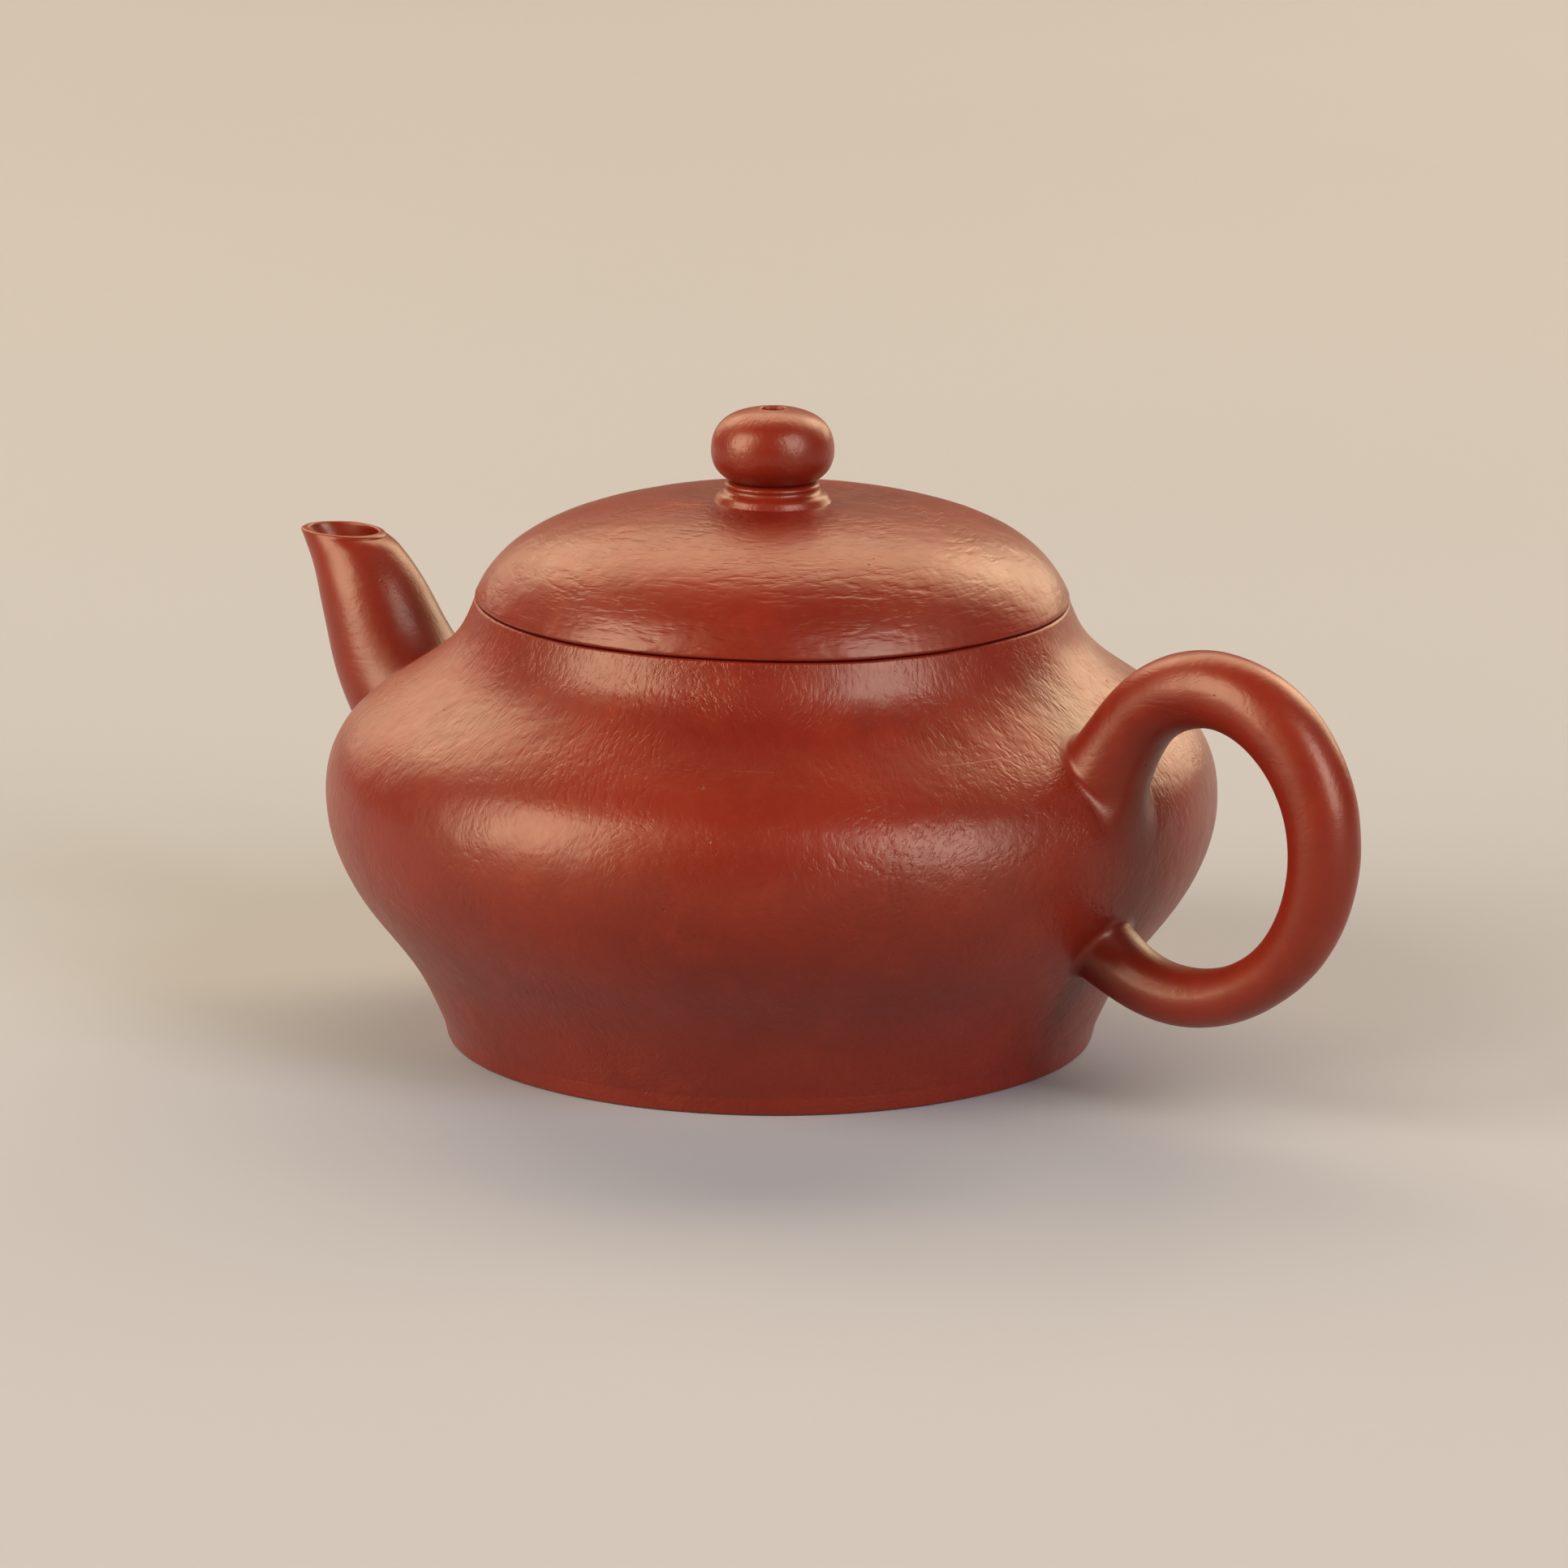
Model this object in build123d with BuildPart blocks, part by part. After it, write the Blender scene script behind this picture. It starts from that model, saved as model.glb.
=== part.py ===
from build123d import *
import os

# A small hand-built clay teapot. Its axis is +Z and it stands on z = 0. The spout points
# along -X and the handle along +X, so the XZ plane is its plane of symmetry. Millimetres.

# ---------------------------------------------------------------- driving dimensions
WALL = 2.3                 # thickness of the beaten clay wall
FOOT_RADIUS = 35.0         # outer edge of the foot where it stands
FOOT_HEIGHT = 2.0
FOOT_WIDTH = 4.6           # width of the ring that the pot stands on
BELLY_RADIUS = 48.0
BELLY_HEIGHT = 25.8        # level of the widest part of the belly
SHOULDER_SEAM = 38.2       # level where the wall strip meets the shoulder disc
RIM_HEIGHT = 47.7          # flat top of the mouth
RIM_RADIUS = 31.95
MOUTH_RADIUS = 29.2        # bore that takes the lid's flange
MOUTH_DEPTH = 3.4          # straight length of that bore
BASE_THICKNESS = 2.2

LID_GAP = 0.1              # the lid is drawn this far above the rim
LID_RADIUS = 32.1          # before its lower edge is rounded
LID_TOP = 58.47
LID_THICKNESS = 2.3
FLANGE_RADIUS = 28.9
FLANGE_THICKNESS = 1.8
FLANGE_DEPTH = 5.2         # how far the flange reaches below the rim
STEP_HEIGHT = 1.6          # the flange is let this far up into the lid

COLLAR_RADIUS = 6.2
COLLAR_TOP = 60.45
KNOB_RADIUS = 6.58
KNOB_CENTRE = 63.96
KNOB_ABOVE = 4.64          # from the widest level of the knob to its top
KNOB_BELOW = 4.14
KNOB_FULL_ABOVE = 0.676    # how squarish the knob's outline is above that level
KNOB_FULL_BELOW = 0.648
VENT_RADIUS = 1.25

FOOT_EASE = 0.3            # how much each worked edge is rounded
RIM_EASE = 0.25
LID_EASE = 0.45
FLANGE_EASE = 0.5
VENT_EASE = 0.3

HOLE_RADIUS = 1.2          # strainer holes through the wall behind the spout
HOLE_PITCH = 3.7
HOLE_LEVEL = 27.5

# The pot's outer outline above the foot, as (radius, height): a waist that hollows in, the
# full belly, and a shoulder that hollows in again up to the mouth.
OUTLINE = [
    (35.45, FOOT_HEIGHT),
    (38.6, 8.6),
    (45.0, 17.2),
    (BELLY_RADIUS, BELLY_HEIGHT),
    (46.4, 33.1),
    (42.4, 36.9),
    (36.9, 40.7),
    (33.6, 44.1),
    (RIM_RADIUS, RIM_HEIGHT),
]
INSIDE_STATIONS = 14       # points that carry the inner outline, one wall thickness in
INSIDE_REACH = 0.93        # share of the outline that the inner one follows before the bore

# Centre line of the spout, from inside the wall to beyond the mouth, and its outer radii.
SPOUT_LINE = [(-42.5, 24.0), (-49.0, 28.6), (-53.55, 34.4), (-56.4, 40.0), (-61.65, 47.45), (-63.85, 50.35)]
SPOUT_RADII = [9.8, 8.55, 7.55, 6.95, 6.3, 5.45, 4.3, 3.7]
SPOUT_MOUTH = 47.4         # level at which the spout is cut off flat
SPOUT_WALL_ROOT = 2.2
SPOUT_WALL_TIP = 0.7

# Centre line of the ear-shaped handle, from its upper root round to its lower root, and the
# radius of its section, which is stout at the top and slimmer below.
HANDLE_LINE = [
    (42.2, 31.5),
    (45.4, 37.3),
    (49.4, 42.8),
    (56.9, 45.95),
    (65.45, 43.35),
    (71.0, 35.8),
    (71.3, 26.4),
    (66.5, 17.8),
    (58.0, 13.0),
    (49.6, 13.2),
    (42.0, 17.6),
]
HANDLE_RADII = [5.9, 4.5, 4.0, 4.05, 4.05, 4.05, 3.95, 3.8, 3.6, 3.3, 3.0, 3.0, 3.15, 3.4, 4.1]

# The collar from the knob down: a small bead, a groove, and a foot that flares on to the lid.
COLLAR_OUTLINE = [(4.7, COLLAR_TOP), (4.98, 60.22), (5.05, 59.8), (5.6, 59.25), (COLLAR_RADIUS, 58.5)]

os.makedirs("parts", exist_ok=True)


# ---------------------------------------------------------------- shared shapes
def inside_points(outline):
    """Points one wall thickness inside the outline, from the foot to below the mouth."""
    points = []
    for i in range(INSIDE_STATIONS):
        t = i / INSIDE_STATIONS * INSIDE_REACH
        run = outline % t
        spot = outline @ t
        points.append((spot.X - WALL * run.Z, spot.Z + WALL * run.X))
    return points


def outer_body():
    """Everything inside the pot's outer surface, above the foot."""
    with BuildPart() as solid:
        with BuildSketch(Plane.XZ):
            with BuildLine():
                Spline(*OUTLINE)
                Polyline(OUTLINE[-1], (0, RIM_HEIGHT), (0, FOOT_HEIGHT), OUTLINE[0])
            make_face()
        revolve(axis=Axis.Z)
    return solid.part


def tea_chamber():
    """The hollow of the pot, from the base disc's underside up through the mouth."""
    with BuildLine(Plane.XZ) as outline:
        Spline(*OUTLINE)
    inner = inside_points(outline.line)
    bore_foot = (MOUTH_RADIUS, RIM_HEIGHT - MOUTH_DEPTH)
    with BuildPart() as solid:
        with BuildSketch(Plane.XZ):
            with BuildLine():
                Spline(*inner, bore_foot)
                Polyline(bore_foot, (MOUTH_RADIUS, RIM_HEIGHT), (0, RIM_HEIGHT), (0, inner[0][1]), inner[0])
            make_face()
        revolve(axis=Axis.Z)
        # the strip's lower end is open all the way down to the foot
        with BuildSketch(Plane.XY.offset(FOOT_HEIGHT)):
            Circle(inner[0][0])
        extrude(amount=inner[0][1] - FOOT_HEIGHT)
    return solid.part


def tube_along(line, radii):
    """A solid whose round sections follow a line in the XZ plane."""
    last = len(radii) - 1
    with BuildPart() as tube:
        for i, radius in enumerate(radii):
            centre = line @ (i / last)
            heading = line % (i / last)
            with BuildSketch(Plane(origin=centre, x_dir=(0, 1, 0), z_dir=heading)):
                Circle(radius)
        loft()
    return tube.part


def vent_hole(height):
    """A rod the size of the vent, from below the lid up to a height."""
    with BuildPart() as rod:
        with BuildSketch(Plane.XY.offset(RIM_HEIGHT)):
            Circle(VENT_RADIUS)
        extrude(amount=height - RIM_HEIGHT)
    return rod.part


OUTER_BODY = outer_body()
TEA_CHAMBER = tea_chamber()

# ---------------------------------------------------------------- the pot
with BuildPart() as foot_ring:
    with BuildSketch(Plane.XZ):
        Polygon(
            (FOOT_RADIUS - FOOT_WIDTH, 0),
            (FOOT_RADIUS, 0),
            (OUTLINE[0][0], FOOT_HEIGHT),
            (FOOT_RADIUS - FOOT_WIDTH - 0.3, FOOT_HEIGHT),
            align=None,
        )
    revolve(axis=Axis.Z)
    standing_edges = foot_ring.edges().filter_by(GeomType.CIRCLE).group_by(Axis.Z)[0]
    fillet(standing_edges, FOOT_EASE)

with BuildPart() as base_disc:
    with BuildSketch(Plane.XY.offset(FOOT_HEIGHT)):
        Circle(OUTLINE[0][0])
    extrude(amount=BASE_THICKNESS)
    add(TEA_CHAMBER, mode=Mode.INTERSECT)

with BuildPart() as body_wall:
    add(OUTER_BODY)
    add(TEA_CHAMBER, mode=Mode.SUBTRACT)
    split(bisect_by=Plane.XY.offset(SHOULDER_SEAM), keep=Keep.BOTTOM)
    # the strainer: one hole in the middle and six round it
    with BuildSketch(Plane.YZ.offset(-BELLY_RADIUS)):
        with Locations((0, HOLE_LEVEL)):
            Circle(HOLE_RADIUS)
            with PolarLocations(HOLE_PITCH, 6):
                Circle(HOLE_RADIUS)
    extrude(amount=4 * WALL, mode=Mode.SUBTRACT)

with BuildPart() as shoulder:
    add(OUTER_BODY)
    add(TEA_CHAMBER, mode=Mode.SUBTRACT)
    split(bisect_by=Plane.XY.offset(SHOULDER_SEAM), keep=Keep.TOP)
    rim_edges = shoulder.edges().filter_by(GeomType.CIRCLE).group_by(Axis.Z)[-1]
    fillet(rim_edges, RIM_EASE)

with BuildLine(Plane.XZ) as spout_line:
    Spline(*SPOUT_LINE)

with BuildPart() as spout:
    add(tube_along(spout_line.line, SPOUT_RADII))
    thinning = (SPOUT_WALL_ROOT - SPOUT_WALL_TIP) / (len(SPOUT_RADII) - 1)
    bore_radii = [r - SPOUT_WALL_ROOT + thinning * i for i, r in enumerate(SPOUT_RADII)]
    add(tube_along(spout_line.line, bore_radii), mode=Mode.SUBTRACT)
    add(OUTER_BODY, mode=Mode.SUBTRACT)
    split(bisect_by=Plane.XY.offset(SPOUT_MOUTH), keep=Keep.BOTTOM)

with BuildLine(Plane.XZ) as handle_line:
    Spline(*HANDLE_LINE)

with BuildPart() as handle:
    add(tube_along(handle_line.line, HANDLE_RADII))
    add(OUTER_BODY, mode=Mode.SUBTRACT)

# ---------------------------------------------------------------- the lid
LID_EDGE = RIM_HEIGHT + LID_GAP
FLANGE_TOP = LID_EDGE + STEP_HEIGHT
FLANGE_BORE = FLANGE_RADIUS - FLANGE_THICKNESS

with BuildPart() as lid_dome:
    with BuildSketch(Plane.XZ):
        with BuildLine():
            Bezier((LID_RADIUS, LID_EDGE), (28.3, 56.8), (17.0, LID_TOP), (0, LID_TOP))
            ceiling = LID_TOP - LID_THICKNESS
            Line((0, LID_TOP), (0, ceiling))
            Bezier((0, ceiling), (14.5, ceiling), (24.6, 54.6), (FLANGE_BORE, FLANGE_TOP))
            Polyline(
                (FLANGE_BORE, FLANGE_TOP),
                (FLANGE_RADIUS, FLANGE_TOP),
                (FLANGE_RADIUS, LID_EDGE),
                (LID_RADIUS, LID_EDGE),
            )
        make_face()
    revolve(axis=Axis.Z)
    outer_edge = lid_dome.edges().filter_by(GeomType.CIRCLE).sort_by(SortBy.RADIUS)[-1]
    fillet(outer_edge, LID_EASE)
    add(vent_hole(LID_TOP + 1), mode=Mode.SUBTRACT)

with BuildPart() as lid_flange:
    with BuildSketch(Plane.XY.offset(RIM_HEIGHT - FLANGE_DEPTH)):
        Circle(FLANGE_RADIUS)
        Circle(FLANGE_BORE, mode=Mode.SUBTRACT)
    extrude(amount=FLANGE_TOP - RIM_HEIGHT + FLANGE_DEPTH)
    lower_edges = lid_flange.edges().filter_by(GeomType.CIRCLE).group_by(Axis.Z)[0]
    fillet(lower_edges, FLANGE_EASE)

with BuildPart() as knob_collar:
    with BuildSketch(Plane.XZ):
        with BuildLine():
            Spline(*COLLAR_OUTLINE)
            within_wall = LID_TOP - LID_THICKNESS / 2
            Polyline(
                COLLAR_OUTLINE[-1],
                (COLLAR_RADIUS, within_wall),
                (0, within_wall),
                (0, COLLAR_TOP),
                COLLAR_OUTLINE[0],
            )
        make_face()
    revolve(axis=Axis.Z)
    add(lid_dome.part, mode=Mode.SUBTRACT)
    add(vent_hole(COLLAR_TOP + 1), mode=Mode.SUBTRACT)

with BuildPart() as knob:
    with BuildSketch(Plane.XZ):
        with BuildLine():
            # a squarish oval, flatter at the top than an ellipse
            above = (KNOB_RADIUS, KNOB_CENTRE + KNOB_FULL_ABOVE * KNOB_ABOVE)
            below = (KNOB_RADIUS, KNOB_CENTRE - KNOB_FULL_BELOW * KNOB_BELOW)
            top = KNOB_CENTRE + KNOB_ABOVE
            bottom = KNOB_CENTRE - KNOB_BELOW
            Bezier((0, top), (KNOB_FULL_ABOVE * KNOB_RADIUS, top), above, (KNOB_RADIUS, KNOB_CENTRE))
            Bezier((KNOB_RADIUS, KNOB_CENTRE), below, (KNOB_FULL_BELOW * KNOB_RADIUS, bottom), (0, bottom))
            Line((0, bottom), (0, top))
        make_face()
    revolve(axis=Axis.Z)
    split(bisect_by=Plane.XY.offset(COLLAR_TOP), keep=Keep.TOP)
    add(vent_hole(KNOB_CENTRE + 2 * KNOB_ABOVE), mode=Mode.SUBTRACT)
    vent_edge = knob.edges().filter_by(GeomType.CIRCLE).sort_by(Axis.Z)[-1]
    chamfer(vent_edge, VENT_EASE)

# ---------------------------------------------------------------- files
PIECES = {
    "foot_ring": foot_ring,
    "base_disc": base_disc,
    "body_wall": body_wall,
    "shoulder": shoulder,
    "spout": spout,
    "handle": handle,
    "lid_dome": lid_dome,
    "lid_flange": lid_flange,
    "knob_collar": knob_collar,
    "knob": knob,
}
for label, piece in PIECES.items():
    piece.part.label = label
    export_step(piece.part, f"parts/{label}.step")
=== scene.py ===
import math

import bpy
import numpy as np
from mathutils import Matrix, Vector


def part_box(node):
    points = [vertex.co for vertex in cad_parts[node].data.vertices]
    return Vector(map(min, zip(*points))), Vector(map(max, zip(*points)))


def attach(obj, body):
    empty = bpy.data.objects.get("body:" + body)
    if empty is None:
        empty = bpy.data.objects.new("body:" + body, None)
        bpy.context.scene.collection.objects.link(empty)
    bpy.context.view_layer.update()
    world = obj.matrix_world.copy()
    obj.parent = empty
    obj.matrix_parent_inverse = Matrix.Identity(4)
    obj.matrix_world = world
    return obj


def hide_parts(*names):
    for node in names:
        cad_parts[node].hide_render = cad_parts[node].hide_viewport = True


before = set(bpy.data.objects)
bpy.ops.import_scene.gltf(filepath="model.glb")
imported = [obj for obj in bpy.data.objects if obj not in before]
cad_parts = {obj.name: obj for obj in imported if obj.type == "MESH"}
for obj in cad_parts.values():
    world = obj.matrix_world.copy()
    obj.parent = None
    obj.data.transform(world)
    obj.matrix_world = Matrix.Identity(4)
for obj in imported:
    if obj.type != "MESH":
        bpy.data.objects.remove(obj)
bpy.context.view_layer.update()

# Lengths in this file are millimetres in the CAD frame until a mesh is made.
MM = 0.001
FULL_TURN = 2 * math.pi


def low(node, axis):
    """Lowest coordinate of a CAD node."""
    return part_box(node)[0][axis] / MM


def high(node, axis):
    """Highest coordinate of a CAD node."""
    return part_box(node)[1][axis] / MM


# ------------------------------------------------------------------ sizes from the frame
FOOT_HEIGHT = high("foot_ring", 2)
BASE_TOP = high("base_disc", 2)
SHOULDER_SEAM = high("body_wall", 2)
BELLY_RADIUS = high("body_wall", 1)
RIM_HEIGHT = high("shoulder", 2)
LID_EDGE = low("lid_dome", 2)
LID_TOP = high("lid_dome", 2)
FLANGE_RADIUS = high("lid_flange", 1)
FLANGE_BOTTOM = low("lid_flange", 2)
FLANGE_TOP = high("lid_flange", 2)
COLLAR_RADIUS = high("knob_collar", 1)
COLLAR_TOP = high("knob_collar", 2)
KNOB_RADIUS = high("knob", 1)
KNOB_TOP = high("knob", 2)
SPOUT_MOUTH = high("spout", 2)

# ------------------------------------------------------------------ sizes the boxes don't give
WALL = 2.3
FOOT_RADIUS = 35.0         # on the table
FOOT_WIDTH = 4.6
FOOT_EDGES = (0.5, 0.35)   # rounding of the foot's inner and outer lower edges
BASE_RISE = 0.35           # how far the base's underside is pressed up in the middle
RIM_RADIUS = 31.95
RIM_EDGE = 0.3             # rounding of the rim's outer edge
MOUTH_RADIUS = 29.2
MOUTH_DEPTH = 3.2          # straight length of the bore that takes the lid's flange
BORE_BLEND = 6.0           # depth under the rim from which the wall has its full thickness
LID_RADIUS = 32.1
LID_THICKNESS = 2.3
LID_CORNER = (28.3, 56.8)  # control point that sets how full the lid is
LID_FLAT = 17.0            # reach of the flat middle's control point
CEILING_CORNER = (24.6, 54.6)
CEILING_FLAT = 14.5
LID_LIP = 0.45             # height of the rounded lower edge of the lid
LID_LIP_WIDTH = 0.62       # and how far it reaches in
FLANGE_THICKNESS = 1.8
FLANGE_EDGE = 0.6          # rounding of the flange's lower edges
VENT_RADIUS = 1.25
VENT_EDGE = 0.45           # width of the softened ring round the vent's mouth
KNOB_CENTRE = 63.96        # the level at which the ball is widest
KNOB_OVER = 0.05           # the ball's curve, closed over the vent, would rise this far past its top
KNOB_BELOW = 4.14          # depth of the ball below its widest level
KNOB_FULL_ABOVE = 0.676    # how full the ball is: 0.552 would be an ellipse
KNOB_FULL_BELOW = 0.648
HOLE_RADIUS = 1.2          # the seven strainer holes
HOLE_PITCH = 3.7
HOLE_LEVEL = 27.5

# The pot's outline as (radius, height), from the foot ring's top to the rim.
OUTLINE = [
    (35.45, FOOT_HEIGHT),
    (38.6, 8.6),
    (45.0, 17.2),
    (BELLY_RADIUS, 25.8),
    (46.4, 33.1),
    (42.4, 36.9),
    (36.9, 40.7),
    (33.6, 44.1),
    (RIM_RADIUS, RIM_HEIGHT),
]
# Centre lines as (x, height), and radii at even distances along them.
SPOUT_LINE = [
    (-42.5, 24.0),
    (-49.0, 28.6),
    (-53.55, 34.4),
    (-56.4, 40.0),
    (-61.65, 47.45),
    (-63.85, 50.35),
]
SPOUT_RADII = [9.8, 8.55, 7.55, 6.95, 6.3, 5.45, 4.3, 3.7]
SPOUT_WALLS = (2.2, 0.6)   # thickness at the line's two ends
SPOUT_LIP = 0.25           # height of the rounded edge of the spout's mouth
HANDLE_LINE = [
    (42.2, 31.5),
    (45.4, 37.3),
    (49.4, 42.8),
    (56.9, 45.95),
    (65.45, 43.35),
    (71.0, 35.8),
    (71.3, 26.4),
    (66.5, 17.8),
    (58.0, 13.0),
    (49.6, 13.2),
    (42.0, 17.6),
]
HANDLE_RADII = [5.9, 4.5, 4.0, 4.05, 4.05, 4.05, 3.95, 3.8, 3.6, 3.3, 3.0, 3.0, 3.15, 3.4, 4.1]
# The collar's outline as (radius, height), from inside the lid up to the neck under the ball.
COLLAR_FOOT = (COLLAR_RADIUS + 0.2, 58.15)
COLLAR_NECK = (4.25, 60.6)
COLLAR_OUTLINE = [
    COLLAR_FOOT,
    (COLLAR_RADIUS, 58.45),
    (6.04, 58.72),
    (5.86, 59.02),
    (5.5, 59.3),
    (5.1, 59.55),
    (4.97, 59.83),
    (5.04, 60.12),
    (4.84, 60.4),
    COLLAR_NECK,
]

# ------------------------------------------------------------------ how finely it is modelled
TURNS = 480                # segments round the large pieces
BASE_TURNS = 240           # round the base slab
SMALL_TURNS = 240          # round the knob and its collar
HANDLE_TURNS = 112
SPOUT_TURNS = 128
HOLE_TURNS = 32
ROUND_STEPS = 9            # points on a rounded corner
SEAM_ROW = 0.06            # height of the row of faces beside a seam
SHARP = 33                 # degrees between faces that make a crisp edge
SAME_POINT = 1e-4          # points nearer than this are one point

# ------------------------------------------------------------------ hand work
SEED = 7
# How far hand work leaves a surface from its true place, and over what lengths.
SWAY = {"count": 14, "size": 0.09, "shortest": 24.0, "longest": 80.0}
DIMPLES = {"count": 48, "size": 0.010, "shortest": 3.5, "longest": 10.0}
DIMPLE_SEED = SEED + 20
FLAT_BELOW = 12.0          # the unevenness in height fades out below this, so the foot stands flat


# ------------------------------------------------------------------ lines
def unit(v):
    """Vectors scaled to length one."""
    return v / np.maximum(np.linalg.norm(v, axis=-1, keepdims=True), 1e-12)


def distances(line):
    """How far along a line each of its points is."""
    return np.concatenate([[0], np.cumsum(np.linalg.norm(np.diff(line, axis=0), axis=1))])


def even(line, count):
    """The same line as a given number of evenly spaced points."""
    line = np.asarray(line, float)
    run = distances(line)
    at = np.linspace(0, run[-1], count)
    return np.stack([np.interp(at, run, line[:, k]) for k in range(line.shape[1])], 1)


def smooth_line(points, count):
    """A natural cubic spline through a few points, as evenly spaced points."""
    p = np.asarray(points, float)
    t = distances(p)
    gap = np.diff(t)
    matrix = np.eye(len(p))
    right = np.zeros_like(p)
    for i in range(1, len(p) - 1):
        matrix[i, i - 1 : i + 2] = gap[i - 1], 2 * (gap[i - 1] + gap[i]), gap[i]
        right[i] = 6 * ((p[i + 1] - p[i]) / gap[i] - (p[i] - p[i - 1]) / gap[i - 1])
    bend = np.linalg.solve(matrix, right)
    samples = 12 * count
    s = np.linspace(0, t[-1], samples)
    k = np.clip(np.searchsorted(t, s, side="right") - 1, 0, len(p) - 2)
    a = ((t[k + 1] - s) / gap[k])[:, None]
    b = 1 - a
    scale = (gap[k] ** 2)[:, None] / 6
    line = a * p[k] + b * p[k + 1] + ((a**3 - a) * bend[k] + (b**3 - b) * bend[k + 1]) * scale
    return even(line, count)


def cubic(p0, p1, p2, p3, t):
    """The place at t on a Bezier curve."""
    return (1 - t) ** 3 * p0 + 3 * (1 - t) ** 2 * t * p1 + 3 * (1 - t) * t * t * p2 + t**3 * p3


def bezier(p0, p1, p2, p3, count):
    """Points on a Bezier curve."""
    t = np.linspace(0, 1, count)[:, None]
    return cubic(*(np.asarray(p, float) for p in (p0, p1, p2, p3)), t)


def rounded(corners, radii):
    """A closed outline through corners, each rounded by its own radius."""
    corners = [np.asarray(c, float) for c in corners]
    out = []
    for i, (corner, radius) in enumerate(zip(corners, radii)):
        if radius <= 0:
            out.append(corner)
            continue
        before = unit(corners[i - 1] - corner)
        after = unit(corners[(i + 1) % len(corners)] - corner)
        start, stop = corner + before * radius, corner + after * radius
        for t in np.linspace(0, 1, ROUND_STEPS):
            out.append((1 - t) ** 2 * start + 2 * (1 - t) * t * corner + t * t * stop)
    return np.array(out)


def join(*runs):
    """Runs of points laid end to end, without the points that repeat."""
    line = np.concatenate([np.asarray(r, float) for r in runs])
    keep = np.concatenate([[True], np.linalg.norm(np.diff(line, axis=0), axis=1) > SAME_POINT])
    line = line[keep]
    if np.linalg.norm(line[0] - line[-1]) < SAME_POINT:
        line = line[:-1]
    return line


# ------------------------------------------------------------------ the pot's two faces
OUTER_LINE = smooth_line(OUTLINE, 1600)


def inner_line():
    """The wall's inner face, one thickness inside the outline, up to the bore of the mouth."""
    tangent = unit(np.gradient(OUTER_LINE, axis=0))
    inside = OUTER_LINE + WALL * np.stack([-tangent[:, 1], tangent[:, 0]], 1)
    inside = inside[inside[:, 1] < RIM_HEIGHT - BORE_BLEND]
    stations = 14
    guide = [tuple(p) for p in even(inside, stations)]
    return smooth_line(guide + [(MOUTH_RADIUS, RIM_HEIGHT - MOUTH_DEPTH)], 600)


INNER_LINE = inner_line()


def radius_at(z):
    """The body's outer radius at a height."""
    return np.interp(z, OUTER_LINE[:, 1], OUTER_LINE[:, 0])


def body_normal(points):
    """The outward normal of the body's surface beside each point."""
    step = 0.05
    slope = (radius_at(points[:, 2] + step) - radius_at(points[:, 2] - step)) / (2 * step)
    radial = unit(points[:, :2])
    return unit(np.column_stack([radial, -slope]))


def on_body(points, sink=0.0):
    """Points moved on to the body's surface, or a little under it."""
    out = points.copy()
    out[:, :2] = unit(points[:, :2]) * radius_at(points[:, 2])[:, None]
    return out - sink * body_normal(out)


# ------------------------------------------------------------------ hand work
def waves(seed, count, shortest, longest):
    """Random plane waves as direction vectors (radians per mm) and phases."""
    rng = np.random.default_rng(seed)
    length = np.exp(rng.uniform(math.log(shortest), math.log(longest), count))
    direction = unit(rng.normal(size=(count, 3)))
    return direction * (FULL_TURN / length)[:, None], rng.uniform(0, FULL_TURN, count)


def drift(points, seed, count, size, shortest, longest):
    """A smooth random shift of each point, the same wherever two pieces meet."""
    shift = np.zeros_like(points)
    for axis in range(3):
        direction, phase = waves(seed + axis, count, shortest, longest)
        shift[:, axis] = np.sin(points @ direction.T + phase).sum(axis=1)
    return shift * size / math.sqrt(count / 2)


def uneven(points):
    """The unevenness that beating, rolling and burnishing by hand leaves in the clay."""
    shift = drift(points, SEED, **SWAY)
    shift += drift(points, DIMPLE_SEED, **DIMPLES)
    shift[:, 2] *= np.clip(points[:, 2] / FLAT_BELOW, 0, 1)
    return points + shift


def make_mesh(name, points, faces, body, node, slot="burnished_clay"):
    """A smooth-shaded piece from points in millimetres. It rides on a body and replaces a CAD node."""
    mesh = bpy.data.meshes.new(name)
    mesh.from_pydata((uneven(points) * MM).tolist(), [], faces)
    mesh.update()
    mesh.polygons.foreach_set("use_smooth", [True] * len(mesh.polygons))
    mesh.set_sharp_from_angle(angle=math.radians(SHARP))
    piece = bpy.data.objects.new(name, mesh)
    bpy.context.scene.collection.objects.link(piece)
    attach(piece, body)
    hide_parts(node)
    return piece


def ring_faces(rows, columns, closed_rows=False):
    """Quads between rows of a grid whose columns go all the way round."""
    faces = []
    last = rows if closed_rows else rows - 1
    for i in range(last):
        here, there = i * columns, ((i + 1) % rows) * columns
        for j in range(columns):
            k = (j + 1) % columns
            faces.append((here + j, here + k, there + k, there + j))
    return faces


def capped(rings, start_middle, stop_middle):
    """Rings joined into a closed skin. A fan to a middle point closes each end."""
    columns = len(rings[0])
    points = np.concatenate(rings + [start_middle, stop_middle])
    faces = ring_faces(len(rings), columns)
    middle = len(rings) * columns
    final = middle - columns
    for j in range(columns):
        k = (j + 1) % columns
        faces.append((middle, k, j))
        faces.append((middle + 1, final + j, final + k))
    return points, faces


def round_angles(columns):
    """Even angles once round."""
    return np.linspace(0, FULL_TURN, columns, endpoint=False)


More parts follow.
